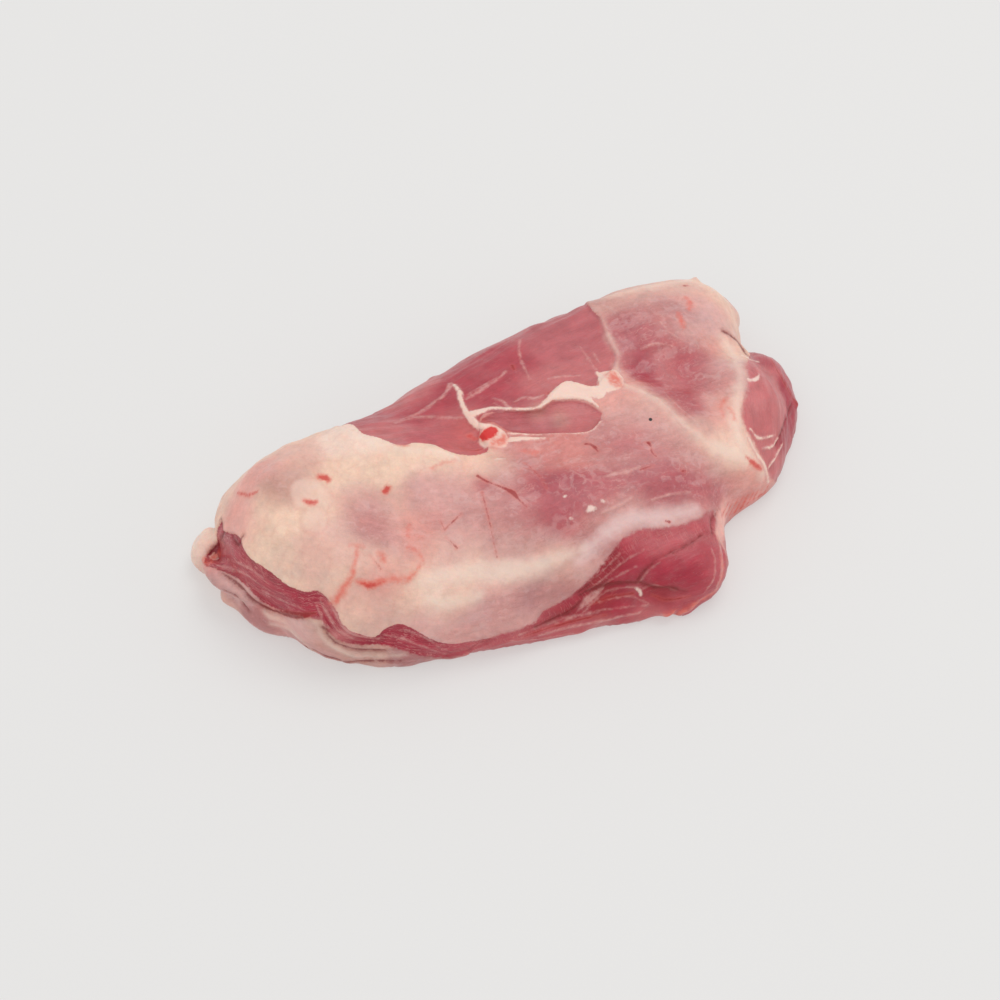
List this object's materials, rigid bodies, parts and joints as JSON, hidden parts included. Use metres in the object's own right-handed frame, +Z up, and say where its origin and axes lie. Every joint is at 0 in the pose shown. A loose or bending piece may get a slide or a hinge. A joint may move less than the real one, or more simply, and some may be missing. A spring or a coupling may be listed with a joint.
{
  "type": "veal shoulder",
  "caption": "Boneless raw veal shoulder joint, lying flat: a fat-covered thick end that runs over folded muscles and sinew to a thin trimmed end.",
  "frame": {"origin": "on the surface that the joint lies on, under the middle of its bounding box", "axes": "+X along the joint, from the thick fat-covered end to the thin trimmed end; -Y towards the cut front side; +Z up"},
  "size_m": [0.3192, 0.1796, 0.0715],
  "materials": {
    "veal": "moist satin, pink muscle under pale membrane and cream fat"
  },
  "bodies": {
    "root": {"veal_shoulder": "veal"}
  },
  "joints": []
}
